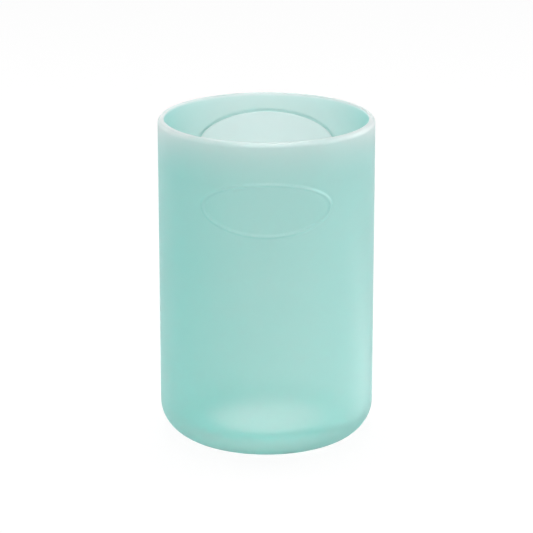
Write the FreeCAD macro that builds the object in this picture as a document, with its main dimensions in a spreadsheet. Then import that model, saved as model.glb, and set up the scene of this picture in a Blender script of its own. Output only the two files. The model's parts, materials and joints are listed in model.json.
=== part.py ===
import FreeCAD, Part
import math
import os

import Sketcher

# Open-topped silicone sleeve that protects a glass feeding bottle. The cup-shaped moulding has a raised
# oval bead on its front, a pale oval window lapped into its back wall and a cushion pad in its floor.
# Millimetres, +Z up, front towards -Y, origin at the centre of the base.

DRIVING_SIZES = {
    # sleeve moulding
    "outer_diameter": 70,
    "sleeve_height": 106,
    "wall_thickness": 2,
    "floor_thickness": 3.4,
    "base_corner_radius": 10.6,
    "floor_ledge_width": 7.4,
    "hole_chamfer": 0.4,
    "pad_seat_width": 2.1,
    "pad_seat_depth": 0.8,
    "lead_in_chamfer": 0.6,
    # raised oval bead on the front, seen square on
    "bead_oval_width": 41,
    "bead_oval_height": 17.7,
    "bead_rim_margin": 12.65,
    "bead_width": 0.9,
    "bead_rise": 0.4,
    "bead_root": 0.5,
    # oval window in the back wall, seen square on
    "window_width": 44,
    "window_height": 16,
    "window_rim_margin": 6.4,
    "window_lap": 1,
    "rebate_depth": 1,
    "seam_clearance": 0.1,
    "bore_setback": 0.05,
    # cushion pad in the floor's seat
    "pad_thickness": 1.3,
    "pad_clearance": 0.3,
    "pad_chamfer": 0.3,
    "rib_width": 1.2,
    "rib_rise": 0.4,
    "rib_edge_margin": 3.8,
    "rib_spacing": 5,
}

# Formulas that more than one feature reads, so that pieces which fit each other share the same cells.
OUTER_RADIUS = "dims.outer_diameter / 2"
BORE_RADIUS = f"({OUTER_RADIUS} - dims.wall_thickness)"
REBATE_RADIUS = f"({OUTER_RADIUS} - dims.rebate_depth)"
FLOOR_RADIUS = f"({OUTER_RADIUS} - dims.base_corner_radius)"
HOLE_RADIUS = f"({FLOOR_RADIUS} - dims.floor_ledge_width)"
SEAT_RADIUS = f"({HOLE_RADIUS} + dims.pad_seat_width)"
SEAT_LEVEL = "dims.floor_thickness - dims.pad_seat_depth"
INNER_CORNER = "dims.base_corner_radius - dims.wall_thickness"
RIM_ROUND = "dims.wall_thickness - dims.lead_in_chamfer"
PAD_RADIUS = f"({SEAT_RADIUS} - dims.pad_clearance)"
BEAD_LEVEL = "dims.sleeve_height - dims.bead_rim_margin - dims.bead_oval_height / 2"
WINDOW_LEVEL = "dims.sleeve_height - dims.window_rim_margin - dims.window_height / 2"

# The points of a sketch line or arc, and the sketch's own origin.
START, END, CENTRE = range(1, 4)
ORIGIN = (-1, START)

FRONT = FreeCAD.Vector(0, -1, 0)
BACK = FreeCAD.Vector(0, 1, 0)
STOOD_UP = FreeCAD.Rotation(FreeCAD.Vector(1, 0, 0), 90)

doc = FreeCAD.newDocument("bottle_sleeve")


def add_size_sheet():
    sheet = doc.addObject("Spreadsheet::Sheet", "dims")
    for row, (alias, value) in enumerate(DRIVING_SIZES.items(), start=1):
        sheet.set(f"A{row}", alias)
        sheet.set(f"B{row}", str(value))
        sheet.setAlias(f"B{row}", alias)
    doc.recompute()
    return sheet


def size_of(formula):
    """Present value of a formula on the size sheet."""
    return float(dims.evalExpression(formula))


def add(kind, name, **formulas):
    """New object whose named properties follow formulas on the size sheet."""
    made = doc.addObject(kind, name)
    for field, formula in formulas.items():
        made.setExpression(field, formula)
    return made


def combine(kind, name, base, tool):
    made = doc.addObject(kind, name)
    made.Base = base
    made.Tool = tool
    made.Refine = True
    return made


def line(x1, y1, x2, y2):
    return Part.LineSegment(FreeCAD.Vector(x1, y1, 0), FreeCAD.Vector(x2, y2, 0))


def arc(x, y, radius, first_degrees, last_degrees):
    circle = Part.Circle(FreeCAD.Vector(x, y, 0), FreeCAD.Vector(0, 0, 1), radius)
    return Part.ArcOfCircle(circle, math.radians(first_degrees), math.radians(last_degrees))


def body_sketch(body, name, plane_role, outline):
    """Sketch of named lines and arcs on one of the body's own origin planes."""
    sketch = body.newObject("Sketcher::SketchObject", name)
    plane = next(plane for plane in body.Origin.OriginFeatures if plane.Role == plane_role)
    sketch.AttachmentSupport = [(plane, "")]
    sketch.MapMode = "FlatFace"
    places = {stretch: sketch.addGeometry(shape, False) for stretch, shape in outline.items()}
    return sketch, places


def constrain(sketch, kind, *places):
    return sketch.addConstraint(Sketcher.Constraint(kind, *places))


def drive(sketch, name, formula, kind, *places):
    """Dimension that follows a formula on the size sheet."""
    index = constrain(sketch, kind, *places, size_of(formula))
    sketch.renameConstraint(index, name)
    sketch.setExpression(f"Constraints.{name}", formula)


def drive_chamfer(sketch, name, formula, bevel):
    """Equal legs of a sloping line, across and up."""
    drive(sketch, f"{name}_across", formula, "DistanceX", bevel, START, bevel, END)
    drive(sketch, f"{name}_up", formula, "DistanceY", bevel, START, bevel, END)


def revolve(body, sketch):
    turned = body.newObject("PartDesign::Revolution", f"{sketch.Name}_turned")
    turned.Profile = sketch
    turned.ReferenceAxis = (sketch, ["V_Axis"])
    turned.Angle = 360


def make_shell():
    """Cup with a rounded rim, a large base corner, and a floor with a push-out hole and a seat for a pad."""
    outer, bore = size_of(OUTER_RADIUS), size_of(BORE_RADIUS)
    flat, seat, hole = size_of(FLOOR_RADIUS), size_of(SEAT_RADIUS), size_of(HOLE_RADIUS)
    corner, inner_corner = size_of("dims.base_corner_radius"), size_of(INNER_CORNER)
    top, floor, ledge = size_of("dims.sleeve_height"), size_of("dims.floor_thickness"), size_of(SEAT_LEVEL)
    rim, lead_in, edge = size_of(RIM_ROUND), size_of("dims.lead_in_chamfer"), size_of("dims.hole_chamfer")

    body = doc.addObject("PartDesign::Body", "shell")
    sketch, at = body_sketch(body, "shell_section", "XZ_Plane", {
        "base_ring": line(hole + edge, 0, flat, 0),
        "base_corner": arc(flat, corner, corner, 270, 360),
        "outer_wall": line(outer, corner, outer, top - rim),
        "rim": arc(outer - rim, top - rim, rim, 0, 90),
        "lead_in": line(bore, top - lead_in, bore + lead_in, top),
        "inner_wall": line(bore, top - lead_in, bore, floor + inner_corner),
        "inner_corner": arc(flat, floor + inner_corner, inner_corner, 270, 360),
        "floor": line(flat, floor, seat, floor),
        "seat_wall": line(seat, floor, seat, ledge),
        "seat": line(seat, ledge, hole + edge, ledge),
        "hole_top": line(hole, ledge - edge, hole + edge, ledge),
        "hole_wall": line(hole, ledge - edge, hole, edge),
        "hole_bottom": line(hole + edge, 0, hole, edge),
    })
    for kind, before, before_end, after, after_end in (
        ("Tangent", "base_ring", END, "base_corner", START),
        ("Tangent", "base_corner", END, "outer_wall", START),
        ("Tangent", "outer_wall", END, "rim", START),
        ("Coincident", "rim", END, "lead_in", END),
        ("Coincident", "lead_in", START, "inner_wall", START),
        ("Tangent", "inner_wall", END, "inner_corner", END),
        ("Tangent", "inner_corner", START, "floor", START),
        ("Coincident", "floor", END, "seat_wall", START),
        ("Coincident", "seat_wall", END, "seat", START),
        ("Coincident", "seat", END, "hole_top", END),
        ("Coincident", "hole_top", START, "hole_wall", START),
        ("Coincident", "hole_wall", END, "hole_bottom", END),
        ("Coincident", "hole_bottom", START, "base_ring", START),
    ):
        constrain(sketch, kind, at[before], before_end, at[after], after_end)
    for level in ("base_ring", "floor", "seat"):
        constrain(sketch, "Horizontal", at[level])
    for upright in ("outer_wall", "inner_wall", "seat_wall", "hole_wall"):
        constrain(sketch, "Vertical", at[upright])
    constrain(sketch, "Horizontal", *ORIGIN, at["base_ring"], START)
    constrain(sketch, "Vertical", at["rim"], END, at["rim"], CENTRE)

    drive(sketch, "outer_radius", OUTER_RADIUS, "DistanceX", *ORIGIN, at["outer_wall"], START)
    drive(sketch, "bore_radius", BORE_RADIUS, "DistanceX", *ORIGIN, at["inner_wall"], START)
    drive(sketch, "seat_radius", SEAT_RADIUS, "DistanceX", *ORIGIN, at["seat_wall"], START)
    drive(sketch, "hole_radius", HOLE_RADIUS, "DistanceX", *ORIGIN, at["hole_wall"], START)
    drive(sketch, "floor_top", "dims.floor_thickness", "DistanceY", *ORIGIN, at["floor"], START)
    drive(sketch, "seat_level", SEAT_LEVEL, "DistanceY", *ORIGIN, at["seat"], START)
    drive(sketch, "rim_top", "dims.sleeve_height", "DistanceY", *ORIGIN, at["rim"], END)
    drive(sketch, "rim_round", RIM_ROUND, "Radius", at["rim"])
    drive(sketch, "lead_in_up", "dims.lead_in_chamfer", "DistanceY", at["lead_in"], START, at["lead_in"], END)
    drive(sketch, "base_corner", "dims.base_corner_radius", "Radius", at["base_corner"])
    drive(sketch, "inner_corner", INNER_CORNER, "Radius", at["inner_corner"])
    drive_chamfer(sketch, "hole_top", "dims.hole_chamfer", at["hole_top"])
    drive(sketch, "hole_bottom_up", "dims.hole_chamfer",
          "DistanceY", at["hole_bottom"], START, at["hole_bottom"], END)
    drive(sketch, "hole_bottom_across", "dims.hole_chamfer",
          "DistanceX", at["hole_bottom"], END, at["hole_bottom"], START)
    revolve(body, sketch)
    return body


def oval_prism(name, towards, centre_height, width, height):
    """Oval block that runs square out from the sleeve's axis, to the front or to the back."""
    oval = add("Part::Ellipse", f"{name}_oval", MajorRadius=f"({width}) / 2", MinorRadius=f"({height}) / 2")
    oval.Placement = FreeCAD.Placement(FreeCAD.Vector(), STOOD_UP)
    oval.setExpression("Placement.Base.z", centre_height)
    prism = add("Part::Extrusion", name, LengthFwd="dims.outer_diameter")
    prism.Base = oval
    prism.DirMode = "Custom"
    prism.Dir = towards
    prism.Solid = True
    return prism


def round_block(name, radius):
    return add("Part::Cylinder", name, Radius=radius, Height="dims.sleeve_height")


def round_skin(name, inner_radius, outer_radius):
    """Layer between two radii, which a block is cut to so that it follows the round wall."""
    outer = round_block(f"{name}_outer", outer_radius)
    inner = round_block(f"{name}_inner", inner_radius)
    return combine("Part::Cut", name, outer, inner)


def make_bead():
    """Plain oval bead that stands a little proud of the front wall and is rooted in it."""
    rim = oval_prism("bead_rim", FRONT, BEAD_LEVEL, "dims.bead_oval_width", "dims.bead_oval_height")
    field = oval_prism("bead_field", FRONT, BEAD_LEVEL,
                       "dims.bead_oval_width - 2 * dims.bead_width",
                       "dims.bead_oval_height - 2 * dims.bead_width")
    ring = combine("Part::Cut", "bead_ring", rim, field)
    skin = round_skin("bead_skin", f"{OUTER_RADIUS} - dims.bead_root", f"{OUTER_RADIUS} + dims.bead_rise")
    return combine("Part::Common", "bead", ring, skin)


def stepped_oval(name, gap):
    """Oval plug with a wider step on the outside, smaller all round by the given gap."""
    through = oval_prism(f"{name}_through", BACK, WINDOW_LEVEL,
                         f"dims.window_width - 2 * {gap}", f"dims.window_height - 2 * {gap}")
    wide = oval_prism(f"{name}_wide", BACK, WINDOW_LEVEL,
                      f"dims.window_width + 2 * dims.window_lap - 2 * {gap}",
                      f"dims.window_height + 2 * dims.window_lap - 2 * {gap}")
    core = round_block(f"{name}_core", f"{REBATE_RADIUS} + {gap}")
    lap = combine("Part::Cut", f"{name}_lap", wide, core)
    return combine("Part::Fuse", name, through, lap)


def make_sleeve():
    """The moulding: cup, bead and the stepped oval seat that the window is lapped into."""
    beaded = combine("Part::Fuse", "beaded_shell", make_shell(), make_bead())
    seat = stepped_oval("window_seat", "0")
    return combine("Part::Cut", "sleeve", beaded, seat)


def make_rear_window():
    """Pale panel as thick as the wall, with a flange that laps over the edge of the oval opening."""
    plug = stepped_oval("window_plug", "dims.seam_clearance")
    skin = round_skin("window_skin", f"{BORE_RADIUS} + dims.bore_setback", OUTER_RADIUS)
    return combine("Part::Common", "rear_window", plug, skin)


def make_base_pad():
    """Cushion disc in the floor's seat, with concentric ribs that the bottle stands on."""
    radius, thickness = size_of(PAD_RADIUS), size_of("dims.pad_thickness")
    edge = size_of("dims.pad_chamfer")

    body = doc.addObject("PartDesign::Body", "base_pad")
    body.setExpression("Placement.Base.z", SEAT_LEVEL)
    sketch, at = body_sketch(body, "pad_section", "XZ_Plane", {
        "underside": line(0, 0, radius - edge, 0),
        "lower_bevel": line(radius - edge, 0, radius, edge),
        "side": line(radius, edge, radius, thickness - edge),
        "upper_bevel": line(radius, thickness - edge, radius - edge, thickness),
        "top": line(radius - edge, thickness, 0, thickness),
        "middle": line(0, thickness, 0, 0),
    })
    outline = list(at.values())
    for before, after in zip(outline, outline[1:] + outline[:1]):
        constrain(sketch, "Coincident", before, END, after, START)
    constrain(sketch, "Coincident", at["underside"], START, *ORIGIN)
    for level in ("underside", "top"):
        constrain(sketch, "Horizontal", at[level])
    for upright in ("side", "middle"):
        constrain(sketch, "Vertical", at[upright])
    drive(sketch, "pad_radius", PAD_RADIUS, "DistanceX", *ORIGIN, at["side"], START)
    drive(sketch, "pad_top", "dims.pad_thickness", "DistanceY", *ORIGIN, at["top"], END)
    drive_chamfer(sketch, "lower_bevel", "dims.pad_chamfer", at["lower_bevel"])
    drive(sketch, "upper_bevel_up", "dims.pad_chamfer",
          "DistanceY", at["upper_bevel"], START, at["upper_bevel"], END)
    drive(sketch, "upper_bevel_across", "dims.pad_chamfer",
          "DistanceX", at["upper_bevel"], END, at["upper_bevel"], START)
    revolve(body, sketch)
    add_pad_ribs(body)
    return body


def add_pad_ribs(body):
    """As many evenly spaced rings as fit between the edge margin and half a spacing from the middle."""
    rings = {}
    room = size_of(f"{PAD_RADIUS} - dims.rib_edge_margin - dims.rib_spacing / 2")
    for ring in range(math.ceil(room / size_of("dims.rib_spacing"))):
        middle = f"{PAD_RADIUS} - dims.rib_edge_margin - {ring} * dims.rib_spacing"
        rings[f"rib_{ring + 1}_outside"] = f"{middle} + dims.rib_width / 2"
        rings[f"rib_{ring + 1}_inside"] = f"{middle} - dims.rib_width / 2"
    sketch, at = body_sketch(body, "pad_rings", "XY_Plane", {
        name: Part.Circle(FreeCAD.Vector(), FreeCAD.Vector(0, 0, 1), size_of(formula))
        for name, formula in rings.items()
    })
    for name, formula in rings.items():
        constrain(sketch, "Coincident", at[name], CENTRE, *ORIGIN)
        drive(sketch, name, formula, "Radius", at[name])
    ribs = body.newObject("PartDesign::Pad", "pad_ribs")
    ribs.Profile = sketch
    ribs.setExpression("Length", "dims.pad_thickness + dims.rib_rise")


dims = add_size_sheet()
sub_parts = [make_sleeve(), make_rear_window(), make_base_pad()]
doc.recompute()

for made in doc.Objects:
    if {"Invalid", "Error"} & set(made.State):
        raise RuntimeError(f"{made.Label} did not build: {made.State}")
for piece in sub_parts:
    if piece.Shape.isNull() or not piece.Shape.isValid() or len(piece.Shape.Solids) != 1:
        raise RuntimeError(f"{piece.Label} is not one sound solid")

os.makedirs("parts", exist_ok=True)
for piece in sub_parts:
    piece.Shape.exportStep(f"parts/{piece.Label}.step")
    print(f"{piece.Label}: {piece.Shape.Volume:.1f} mm3")
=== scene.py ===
import json
import math

import bmesh
import bpy
from mathutils import Matrix, Vector


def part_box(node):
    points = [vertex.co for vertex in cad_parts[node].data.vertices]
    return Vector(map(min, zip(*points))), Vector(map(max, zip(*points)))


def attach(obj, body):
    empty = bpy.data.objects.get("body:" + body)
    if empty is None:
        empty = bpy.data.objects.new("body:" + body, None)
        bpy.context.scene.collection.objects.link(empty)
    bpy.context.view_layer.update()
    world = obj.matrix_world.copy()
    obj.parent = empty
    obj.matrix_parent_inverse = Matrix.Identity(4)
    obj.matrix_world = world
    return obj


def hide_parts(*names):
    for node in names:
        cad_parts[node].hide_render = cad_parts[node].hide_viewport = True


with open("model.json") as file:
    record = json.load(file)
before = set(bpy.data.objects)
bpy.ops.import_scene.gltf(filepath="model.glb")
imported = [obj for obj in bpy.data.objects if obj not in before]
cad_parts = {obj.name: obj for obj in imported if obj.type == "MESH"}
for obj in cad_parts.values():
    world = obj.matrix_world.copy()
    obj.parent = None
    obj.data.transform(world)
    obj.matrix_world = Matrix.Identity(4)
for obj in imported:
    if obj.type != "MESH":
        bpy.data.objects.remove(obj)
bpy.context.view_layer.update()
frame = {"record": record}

# The sleeve is one cup of mint silicone, compression moulded in a split mould. Its wall is straight, its
# rim is rounded, its base corner is large, and a hole in the floor lets two fingers push the bottle out.
sleeve_low, sleeve_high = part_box("sleeve")
pad_low, pad_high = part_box("base_pad")
window_low, window_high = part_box("rear_window")
bore_mount = next(mount for mount in frame["record"]["mounts"] if mount["name"] == "bottle_bore")
sleeve_height = sleeve_high.z
outer_radius = sleeve_high.x
bore_radius = bore_mount["dims"]["r_mm"] / 1000
wall = outer_radius - bore_radius
floor_top = 0.0034
seat_radius = pad_high.x + 0.0003
seat_level = pad_low.z
hole_radius = 0.017
base_corner = 0.0106
rim_outside_round = 0.0016
rim_inside_round = 0.00038
hole_edge_round = 0.0004
seat_edge_round = 0.0002
section_step = 0.004

# The bead is a plain raised oval on the front, as a moulded frame round a bare field.
bead_half_width = 0.02005
bead_half_height = 0.0084
bead_level = sleeve_height - 0.0215
bead_foot = 0.0008
bead_rise = 0.00036
bead_zone_margin = 0.0012
bead_zone_half_angle = math.radians(38)
bead_zone_rows = 80
bead_zone_steps = 180
plain_wall_steps = 96
on_wall = 1e-6


def wire(points, closed):
    """Wire in the upright plane through (radius, height) corners."""
    mesh = bmesh.new()
    corners = [mesh.verts.new((radius, 0, height)) for radius, height in points]
    for first, second in zip(corners, corners[1:] + corners[:1] * closed):
        mesh.edges.new((first, second))
    return mesh, corners


def round_corner(mesh, corner, radius, segments):
    bmesh.ops.bevel(mesh, geom=[corner], offset=radius, offset_type="OFFSET", segments=segments,
                    profile=0.5, affect="VERTICES", material=-1)


def cut_longer_than(mesh, length):
    """Divide every edge into equal stretches no longer than the given length."""
    for edge in list(mesh.edges):
        cuts = math.ceil(edge.calc_length() / length) - 1
        if cuts > 0:
            bmesh.ops.subdivide_edges(mesh, edges=[edge], cuts=cuts)


def close_turned(mesh, weld=1e-6):
    bmesh.ops.remove_doubles(mesh, verts=mesh.verts, dist=weld)
    bmesh.ops.recalc_face_normals(mesh, faces=mesh.faces)


def finish_piece(name, mesh, material, crease=math.radians(38)):
    """Turn a bmesh into a smooth-shaded object whose creases stay sharp."""
    for face in mesh.faces:
        face.smooth = True
    for edge in mesh.edges:
        edge.smooth = edge.calc_face_angle(0) < crease
    data = bpy.data.meshes.new(name)
    mesh.to_mesh(data)
    mesh.free()
    data.materials.append(material)
    piece = bpy.data.objects.new(name, data)
    bpy.context.scene.collection.objects.link(piece)
    return piece


section, (hole_low, foot, rim_out, rim_in, inner_foot, seat_top, seat_foot, hole_high) = wire([
    (hole_radius, 0), (outer_radius, 0), (outer_radius, sleeve_height),
    (bore_radius, sleeve_height), (bore_radius, floor_top), (seat_radius, floor_top),
    (seat_radius, seat_level), (hole_radius, seat_level),
], closed=True)
round_corner(section, hole_low, hole_edge_round, 4)
round_corner(section, foot, base_corner, 16)
round_corner(section, rim_out, rim_outside_round, 7)
round_corner(section, rim_in, rim_inside_round, 6)
round_corner(section, inner_foot, base_corner - wall, 12)
round_corner(section, seat_top, seat_edge_round, 3)
round_corner(section, seat_foot, seat_edge_round, 3)
round_corner(section, hole_high, hole_edge_round, 4)
for side in (-1, 1):
    zone_edge = bead_level + side * (bead_half_height + bead_zone_margin)
    outer_wall = [edge for edge in section.edges
                  if min(v.co.x for v in edge.verts) > outer_radius - on_wall]
    bmesh.ops.bisect_plane(section, geom=outer_wall + list({v for e in outer_wall for v in e.verts}),
                           plane_co=(0, 0, zone_edge), plane_no=(0, 0, 1))
zone = [edge for edge in section.edges
        if min(v.co.x for v in edge.verts) > outer_radius - on_wall
        and all(abs(v.co.z - bead_level) < bead_half_height + bead_zone_margin + on_wall
                for v in edge.verts)]
bmesh.ops.subdivide_edges(section, edges=zone, cuts=bead_zone_rows)
cut_longer_than(section, section_step)

front = -math.pi / 2
bmesh.ops.rotate(section, verts=section.verts, cent=(0, 0, 0),
                 matrix=Matrix.Rotation(front - bead_zone_half_angle, 3, "Z"))
fine = bmesh.ops.spin(section, geom=section.verts[:] + section.edges[:], cent=(0, 0, 0), axis=(0, 0, 1),
                      angle=2 * bead_zone_half_angle, steps=bead_zone_steps)
bmesh.ops.spin(section, geom=fine["geom_last"], cent=(0, 0, 0), axis=(0, 0, 1),
               angle=2 * math.pi - 2 * bead_zone_half_angle, steps=plain_wall_steps)
close_turned(section)

for vert in section.verts:
    radius = math.hypot(vert.co.x, vert.co.y)
    if vert.co.y > 0 or radius < outer_radius - 1e-5:
        continue
    across, up = vert.co.x, vert.co.z - bead_level
    reach = math.hypot(across / bead_half_width, up / bead_half_height)
    if reach < 0.5:
        continue
    slope = math.hypot(across / bead_half_width ** 2, up / bead_half_height ** 2)
    offset = (reach - 1) * reach / slope
    if abs(offset) < bead_foot:
        rise = bead_rise * (1 + math.cos(math.pi * offset / bead_foot)) / 2
        vert.co.x *= 1 + rise / radius
        vert.co.y *= 1 + rise / radius

# The pale colour serves both the faint random mottle and the painted glow of light near the rim.
silicone_mint = (0.28, 0.705, 0.648, 1)
silicone_pale_mottle_and_glow = (0.73, 0.985, 0.965, 1)


def group_socket(group, name, kind, way, value=None):
    socket = group.interface.new_socket(name, in_out=way, socket_type=kind)
    if value is not None:
        socket.default_value = value


# Moulded silicone skin: a fine satin grain, a faint mottle, and painted light: a pale glow painted near
# the top of the wall, standing in for light that enters the thin rim and spreads down through it. The
# painted glow covers the outside and the top of the rim, and leaves the bore as it is.
rim_glow_depth = 0.021
rim_glow_falloff = 2.6
bore_margin = 0.0004
outside_margin = 0.0005
rim_top_from, rim_top_to = 0.0012, 0.0002
skin = bpy.data.node_groups.new("silicone_skin_with_painted_glow", "ShaderNodeTree")
group_socket(skin, "Colour", "NodeSocketColor", "INPUT", silicone_mint)
group_socket(skin, "Mottle And Glow Colour", "NodeSocketColor", "INPUT", silicone_pale_mottle_and_glow)
group_socket(skin, "Edge Level", "NodeSocketFloat", "INPUT", 1)
group_socket(skin, "Rim Glow Depth", "NodeSocketFloat", "INPUT", rim_glow_depth)
group_socket(skin, "Satin", "NodeSocketFloat", "INPUT", 0.25)
group_socket(skin, "Colour", "NodeSocketColor", "OUTPUT")
group_socket(skin, "Roughness", "NodeSocketFloat", "OUTPUT")
group_socket(skin, "Grain", "NodeSocketFloat", "OUTPUT")
skin_in = skin.nodes.new("NodeGroupInput")
skin_out = skin.nodes.new("NodeGroupOutput")
skin_place = skin.nodes.new("ShaderNodeTexCoord")
skin_axes = skin.nodes.new("ShaderNodeSeparateXYZ")
skin.links.new(skin_place.outputs["Object"], skin_axes.inputs["Vector"])

below_edge = skin.nodes.new("ShaderNodeMath")
below_edge.operation = "SUBTRACT"
skin.links.new(skin_in.outputs["Edge Level"], below_edge.inputs[0])
skin.links.new(skin_axes.outputs["Z"], below_edge.inputs[1])
rim_glow_share = skin.nodes.new("ShaderNodeMath")
rim_glow_share.operation = "DIVIDE"
rim_glow_share.use_clamp = True
skin.links.new(below_edge.outputs["Value"], rim_glow_share.inputs[0])
skin.links.new(skin_in.outputs["Rim Glow Depth"], rim_glow_share.inputs[1])
rim_glow_rest = skin.nodes.new("ShaderNodeMath")
rim_glow_rest.operation = "SUBTRACT"
rim_glow_rest.inputs[0].default_value = 1
skin.links.new(rim_glow_share.outputs["Value"], rim_glow_rest.inputs[1])
rim_glow_curve = skin.nodes.new("ShaderNodeMath")
rim_glow_curve.operation = "POWER"
rim_glow_curve.inputs[1].default_value = rim_glow_falloff
skin.links.new(rim_glow_rest.outputs["Value"], rim_glow_curve.inputs[0])
skin_axis = skin.nodes.new("ShaderNodeVectorMath")
skin_axis.operation = "MULTIPLY"
skin_axis.inputs[1].default_value = (1, 1, 0)
skin.links.new(skin_place.outputs["Object"], skin_axis.inputs[0])
skin_radius = skin.nodes.new("ShaderNodeVectorMath")
skin_radius.operation = "LENGTH"
skin.links.new(skin_axis.outputs["Vector"], skin_radius.inputs[0])
outside = skin.nodes.new("ShaderNodeMapRange")
outside.inputs["From Min"].default_value = bore_radius + bore_margin
outside.inputs["From Max"].default_value = outer_radius - outside_margin
skin.links.new(skin_radius.outputs["Value"], outside.inputs["Value"])
on_top = skin.nodes.new("ShaderNodeMapRange")
on_top.inputs["From Min"].default_value = rim_top_from
on_top.inputs["From Max"].default_value = rim_top_to
skin.links.new(below_edge.outputs["Value"], on_top.inputs["Value"])
open_side = skin.nodes.new("ShaderNodeMath")
open_side.operation = "MAXIMUM"
skin.links.new(outside.outputs["Result"], open_side.inputs[0])
skin.links.new(on_top.outputs["Result"], open_side.inputs[1])
# Painted light: a pale glow, strongest at the rim and fading down the wall, stands in for light spreading
# through the thin rim.
painted_rim_glow = skin.nodes.new("ShaderNodeMath")
painted_rim_glow.operation = "MULTIPLY"
skin.links.new(rim_glow_curve.outputs["Value"], painted_rim_glow.inputs[0])
skin.links.new(open_side.outputs["Value"], painted_rim_glow.inputs[1])

mottle = skin.nodes.new("ShaderNodeTexNoise")
mottle.inputs["Scale"].default_value = 70
mottle.inputs["Detail"].default_value = 3
skin.links.new(skin_place.outputs["Object"], mottle.inputs["Vector"])
mottle_share = skin.nodes.new("ShaderNodeMapRange")
mottle_share.inputs["To Max"].default_value = 0.1
skin.links.new(mottle.outputs["Fac"], mottle_share.inputs["Value"])
# The pale share is the larger of the real random mottle and the painted rim glow.
mottle_and_glow_share = skin.nodes.new("ShaderNodeMath")
mottle_and_glow_share.operation = "MAXIMUM"
skin.links.new(painted_rim_glow.outputs["Value"], mottle_and_glow_share.inputs[0])
skin.links.new(mottle_share.outputs["Result"], mottle_and_glow_share.inputs[1])
mottle_and_glow_tint = skin.nodes.new("ShaderNodeMix")
mottle_and_glow_tint.data_type = "RGBA"
skin.links.new(mottle_and_glow_share.outputs["Value"], mottle_and_glow_tint.inputs["Factor"])
skin.links.new(skin_in.outputs["Colour"], mottle_and_glow_tint.inputs["A"])
skin.links.new(skin_in.outputs["Mottle And Glow Colour"], mottle_and_glow_tint.inputs["B"])
skin.links.new(mottle_and_glow_tint.outputs["Result"], skin_out.inputs["Colour"])

grain = skin.nodes.new("ShaderNodeTexNoise")
grain.inputs["Scale"].default_value = 1400
grain.inputs["Detail"].default_value = 4
skin.links.new(skin_place.outputs["Object"], grain.inputs["Vector"])
skin.links.new(grain.outputs["Fac"], skin_out.inputs["Grain"])
satin_spread = skin.nodes.new("ShaderNodeMapRange")
satin_spread.inputs["To Min"].default_value = -0.05
satin_spread.inputs["To Max"].default_value = 0.05
skin.links.new(mottle.outputs["Fac"], satin_spread.inputs["Value"])
satin = skin.nodes.new("ShaderNodeMath")
satin.operation = "ADD"
skin.links.new(skin_in.outputs["Satin"], satin.inputs[0])
skin.links.new(satin_spread.outputs["Result"], satin.inputs[1])
skin.links.new(satin.outputs["Value"], skin_out.inputs["Roughness"])


silicone_ior = 1.41
slanted_clearness = 0.05


def silicone(name, colour, clearness, tint, roughness, haze, reach, edge_level=1, bloom=0.18):
    """Frosted silicone: part of the light goes straight through, the rest wanders in the wall."""
    material = bpy.data.materials.new(name)
    material.use_nodes = True
    nodes = material.node_tree.nodes
    links = material.node_tree.links
    finish = nodes.new("ShaderNodeGroup")
    finish.node_tree = skin
    finish.inputs["Colour"].default_value = colour
    # Edge Level is the top of the wall, where the painted rim glow starts; at the default height of 1 m no
    # glow is painted.
    finish.inputs["Edge Level"].default_value = edge_level
    finish.inputs["Satin"].default_value = roughness
    relief = nodes.new("ShaderNodeBump")
    relief.inputs["Strength"].default_value = 0.12
    relief.inputs["Distance"].default_value = 0.00003
    links.new(finish.outputs["Grain"], relief.inputs["Height"])
    body = nodes["Principled BSDF"]
    links.new(finish.outputs["Colour"], body.inputs["Base Color"])
    links.new(finish.outputs["Roughness"], body.inputs["Roughness"])
    links.new(relief.outputs["Normal"], body.inputs["Normal"])
    body.inputs["IOR"].default_value = silicone_ior
    body.inputs["Sheen Weight"].default_value = bloom
    body.inputs["Sheen Roughness"].default_value = 0.4
    body.inputs["Subsurface Weight"].default_value = 1
    body.inputs["Subsurface Radius"].default_value = (0.8, 1.0, 0.95)
    body.inputs["Subsurface Scale"].default_value = reach
    clear = nodes.new("ShaderNodeBsdfGlass")
    clear.inputs["Color"].default_value = tint
    clear.inputs["Roughness"].default_value = haze
    clear.inputs["IOR"].default_value = silicone_ior
    slant = nodes.new("ShaderNodeLayerWeight")
    slant.inputs["Blend"].default_value = 0.5
    share = nodes.new("ShaderNodeMapRange")
    share.inputs["To Min"].default_value = clearness
    share.inputs["To Max"].default_value = slanted_clearness
    links.new(slant.outputs["Facing"], share.inputs["Value"])
    front_face = nodes.new("ShaderNodeMixShader")
    links.new(share.outputs["Result"], front_face.inputs["Fac"])
    links.new(body.outputs["BSDF"], front_face.inputs[1])
    links.new(clear.outputs["BSDF"], front_face.inputs[2])
    side = nodes.new("ShaderNodeNewGeometry")
    both_faces = nodes.new("ShaderNodeMixShader")
    links.new(side.outputs["Backfacing"], both_faces.inputs["Fac"])
    links.new(front_face.outputs["Shader"], both_faces.inputs[1])
    links.new(clear.outputs["BSDF"], both_faces.inputs[2])
    links.new(both_faces.outputs["Shader"], nodes["Material Output"].inputs["Surface"])
    return material


# The sleeve gets the painted glow of light near its rim, from its top edge down.
sleeve_silicone = silicone(
    "sleeve_silicone", silicone_mint, clearness=0.54, tint=(0.94, 0.98, 0.97, 1), roughness=0.46,
    haze=0.29, reach=0.012, edge_level=sleeve_height)
sleeve = finish_piece("sleeve_moulding", section, sleeve_silicone)

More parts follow.
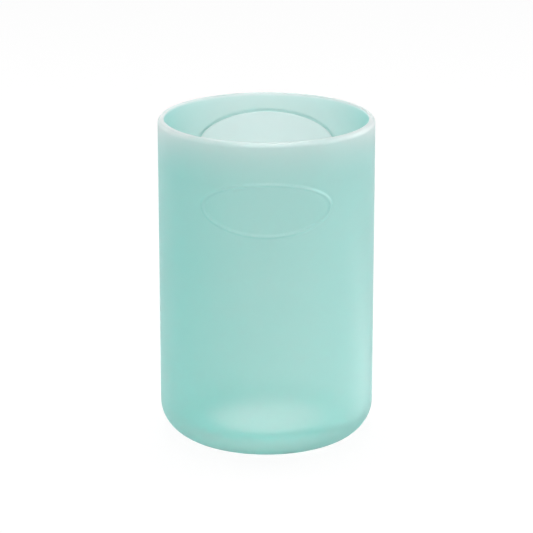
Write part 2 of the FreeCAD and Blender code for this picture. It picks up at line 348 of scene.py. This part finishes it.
# The rear window is a pale, clearer silicone panel, moulded as thick as the wall. Its flange laps over the
# edge of the oval opening in the back wall, in a rebate that leaves it flush outside.
window_lap = 0.001
window_seam = 0.0001
window_gap = 0.00002
window_setback = 0.00005
window_edge_round = 0.00005
rebate_depth = 0.001
window_half_width = window_high.x + window_seam - window_lap
window_half_height = (window_high.z - window_low.z) / 2 + window_seam - window_lap
window_level = (window_high.z + window_low.z) / 2
rebate_radius = outer_radius - rebate_depth
window_inner_radius = bore_radius + window_setback
plug_step = 0.0006
plug_steps = 128
cutter_reach = 0.003
stretch_zone = 0.9


def oval_plug(gap, inner, outer, edge_round):
    """Stepped oval plug that follows the round wall, smaller by the gap than the seat all round."""
    wide = window_half_height + window_lap - gap
    narrow = window_half_height - gap
    mesh, corners = wire([
        (0, inner), (narrow, inner), (narrow, rebate_radius + gap),
        (wide, rebate_radius + gap), (wide, outer), (0, outer),
    ], closed=False)
    if edge_round:
        for corner in (corners[1], corners[3], corners[4]):
            round_corner(mesh, corner, edge_round, 3)
    cut_longer_than(mesh, plug_step)
    bmesh.ops.spin(mesh, geom=mesh.verts[:] + mesh.edges[:], cent=(0, 0, 0), axis=(0, 0, 1),
                   angle=2 * math.pi, steps=plug_steps, use_merge=True)
    close_turned(mesh)
    for vert in mesh.verts:
        distance = math.hypot(vert.co.x, vert.co.y)
        layer = vert.co.z
        stretch = (window_half_width - window_half_height) * min(distance / (stretch_zone * narrow), 1)
        across = vert.co.x * (1 + stretch / distance) if distance else 0
        vert.co = Vector((across, math.sqrt(layer ** 2 - across ** 2), window_level + vert.co.y))
    bmesh.ops.reverse_faces(mesh, faces=mesh.faces)
    return mesh


seat_cutter = finish_piece(
    "seat_cutter", oval_plug(0, bore_radius - cutter_reach, outer_radius + cutter_reach, 0),
    sleeve_silicone)
seat_cut = sleeve.modifiers.new("seat_cut", "BOOLEAN")
seat_cut.operation = "DIFFERENCE"
seat_cut.solver = "EXACT"
seat_cut.object = seat_cutter
cut_data = bpy.data.meshes.new_from_object(sleeve.evaluated_get(bpy.context.evaluated_depsgraph_get()))
sleeve.modifiers.remove(seat_cut)
bpy.data.objects.remove(seat_cutter)
cut_mesh = bmesh.new()
cut_mesh.from_mesh(cut_data)
bpy.data.objects.remove(sleeve)
sleeve = finish_piece("sleeve_moulding", cut_mesh, sleeve_silicone)
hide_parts("sleeve")
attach(sleeve, "sleeve")

window_silicone = silicone(
    "window_silicone", (0.84, 1, 0.985, 1), clearness=0.6, tint=(0.915, 1, 0.99, 1), roughness=0.25,
    haze=0.4, reach=0.004)
rear_window = finish_piece(
    "window_panel", oval_plug(window_gap, window_inner_radius, outer_radius, window_edge_round),
    window_silicone)
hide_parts("rear_window")
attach(rear_window, "sleeve")

# The base pad is a loose cushion disc of soft pale silicone. It lies in the seat round the push-out hole,
# and the bottle stands on its moulded ribs.
pad_radius = pad_high.x
rib_rise = 0.0004
rib_half_width = 0.0006
rib_edge_margin = 0.0038
rib_spacing = 0.005
rib_count = 3
pad_edge_round = 0.0003
rib_edge_round = 0.00018
pad_step = 0.002
pad_steps = 160
pad_top = pad_high.z - rib_rise
rib_rings = [pad_radius - rib_edge_margin - ring * rib_spacing for ring in range(rib_count)]
pad_outline = [(0, pad_low.z), (pad_radius, pad_low.z), (pad_radius, pad_top)]
for ring in rib_rings:
    pad_outline += [
        (ring + rib_half_width, pad_top), (ring + rib_half_width, pad_high.z),
        (ring - rib_half_width, pad_high.z), (ring - rib_half_width, pad_top),
    ]
pad_outline.append((0, pad_top))
pad_mesh, pad_corners = wire(pad_outline, closed=False)
for corner in pad_corners[1:3]:
    round_corner(pad_mesh, corner, pad_edge_round, 4)
for corner in pad_corners[3:-1]:
    round_corner(pad_mesh, corner, rib_edge_round, 3)
cut_longer_than(pad_mesh, pad_step)
bmesh.ops.spin(pad_mesh, geom=pad_mesh.verts[:] + pad_mesh.edges[:], cent=(0, 0, 0), axis=(0, 0, 1),
               angle=2 * math.pi, steps=pad_steps, use_merge=True)
close_turned(pad_mesh)
pad_silicone = silicone(
    "pad_silicone", (0.8, 0.855, 0.845, 1), clearness=0.1, tint=(0.97, 0.99, 0.99, 1), roughness=0.55,
    haze=0.15, reach=0.003, bloom=0)
base_pad = finish_piece("cushion_pad", pad_mesh, pad_silicone)
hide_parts("base_pad")
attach(base_pad, "pad")

# The studio is a plain pale sheet in a white surround, under a soft box overhead and two panels behind.
# White cards at the right and above show only in reflections: they veil the right of the wall and the rim.
floor_mesh = bmesh.new()
bmesh.ops.create_grid(floor_mesh, x_segments=1, y_segments=1, size=3)
floor_material = bpy.data.materials.new("studio_floor")
floor_material.use_nodes = True
floor_nodes = floor_material.node_tree.nodes
floor_links = floor_material.node_tree.links
floor_shader = floor_nodes["Principled BSDF"]
floor_shader.inputs["Base Color"].default_value = (0.8, 0.8, 0.8, 1)
floor_shader.inputs["Roughness"].default_value = 0.9
floor_shader.inputs["Specular IOR Level"].default_value = 0
floor_white = floor_nodes.new("ShaderNodeEmission")
floor_white.inputs["Strength"].default_value = 1.06
floor_path = floor_nodes.new("ShaderNodeLightPath")
floor_seen = floor_nodes.new("ShaderNodeMath")
floor_seen.operation = "MAXIMUM"
floor_mirrored = floor_nodes.new("ShaderNodeMath")
floor_mirrored.operation = "MULTIPLY"
floor_mirrored.inputs[1].default_value = 0.6
floor_clear = floor_nodes.new("ShaderNodeMath")
floor_clear.operation = "MAXIMUM"
floor_share = floor_nodes.new("ShaderNodeMath")
floor_share.operation = "MULTIPLY"
floor_share.inputs[1].default_value = 0.88
floor_mix = floor_nodes.new("ShaderNodeMixShader")
floor_links.new(floor_path.outputs["Is Camera Ray"], floor_seen.inputs[0])
floor_links.new(floor_path.outputs["Is Glossy Ray"], floor_mirrored.inputs[0])
floor_links.new(floor_mirrored.outputs["Value"], floor_seen.inputs[1])
floor_links.new(floor_seen.outputs["Value"], floor_clear.inputs[0])
floor_links.new(floor_path.outputs["Is Transmission Ray"], floor_clear.inputs[1])
floor_links.new(floor_clear.outputs["Value"], floor_share.inputs[0])
floor_links.new(floor_share.outputs["Value"], floor_mix.inputs["Fac"])
floor_links.new(floor_shader.outputs["BSDF"], floor_mix.inputs[1])
floor_links.new(floor_white.outputs["Emission"], floor_mix.inputs[2])
floor_links.new(floor_mix.outputs["Shader"], floor_nodes["Material Output"].inputs["Surface"])
floor = finish_piece("studio_floor", floor_mesh, floor_material)

world = bpy.data.worlds.new("studio_surround")
world.use_nodes = True
bpy.context.scene.world = world
world_nodes = world.node_tree.nodes
world_links = world.node_tree.links
world_fill = world_nodes["Background"]
world_fill.inputs["Color"].default_value = (1, 1, 1, 1)
world_fill.inputs["Strength"].default_value = 0.215
world_white = world_nodes.new("ShaderNodeBackground")
world_white.inputs["Color"].default_value = (1, 1, 1, 1)
world_path = world_nodes.new("ShaderNodeLightPath")
world_seen = world_nodes.new("ShaderNodeMath")
world_seen.operation = "MAXIMUM"
world_clear = world_nodes.new("ShaderNodeMath")
world_clear.operation = "MAXIMUM"
world_mix = world_nodes.new("ShaderNodeMixShader")
world_links.new(world_path.outputs["Is Camera Ray"], world_seen.inputs[0])
world_links.new(world_path.outputs["Is Glossy Ray"], world_seen.inputs[1])
world_links.new(world_seen.outputs["Value"], world_clear.inputs[0])
world_links.new(world_path.outputs["Is Transmission Ray"], world_clear.inputs[1])
world_links.new(world_clear.outputs["Value"], world_mix.inputs["Fac"])
world_links.new(world_fill.outputs["Background"], world_mix.inputs[1])
world_links.new(world_white.outputs["Background"], world_mix.inputs[2])
world_links.new(world_mix.outputs["Shader"], world_nodes["World Output"].inputs["Surface"])


def soft_lamp(name, place, target, size, watts):
    lamp = bpy.data.lights.new(name, "AREA")
    lamp.shape = "ELLIPSE"
    lamp.size, lamp.size_y = size
    lamp.energy = watts
    holder = bpy.data.objects.new(name, lamp)
    holder.location = place
    holder.rotation_euler = (Vector(target) - Vector(place)).to_track_quat("-Z", "Y").to_euler()
    bpy.context.scene.collection.objects.link(holder)
    return holder


soft_lamp("overhead_box", (0, 0.08, 0.74), (0, 0, 0.05), (0.36, 0.36), 3.6)
soft_lamp("right_panel", (0.62, 0.3, 0.3), (0, 0, 0.05), (0.5, 0.7), 1.35)
soft_lamp("left_panel", (-0.62, 0.3, 0.3), (0, 0, 0.05), (0.5, 0.7), 1.25)
for card in (
    soft_lamp("right_card", (0.68, 0.02, 0.3), (0, 0, 0.05), (1.3, 0.8), 14),
    soft_lamp("table_card", (0.2, -0.07, 0.001), (0.2, -0.07, 1), (0.33, 0.33), 0.6),
    soft_lamp("top_card", (0, -0.45, 0.7), (0, 0, 0.05), (0.7, 0.5), 8),
):
    card.visible_camera = False
    card.visible_diffuse = False
    card.visible_transmission = False

# The camera stands well back and looks down a little into the mouth.
middle = Vector((0, 0, sleeve_height / 2))
stand_off = 0.84
look_down = math.radians(17.5)
aim_above = math.radians(0.1675)
camera_data = bpy.data.cameras.new("studio_camera")
camera_data.sensor_width = 36
camera_data.lens = 173.3
camera = bpy.data.objects.new("studio_camera", camera_data)
camera.location = middle + stand_off * Vector((0, -math.cos(look_down), math.sin(look_down)))
camera.rotation_euler = (math.pi / 2 - look_down + aim_above, 0, 0)
bpy.context.scene.collection.objects.link(camera)
bpy.context.scene.camera = camera
bpy.context.scene.view_settings.view_transform = "Standard"
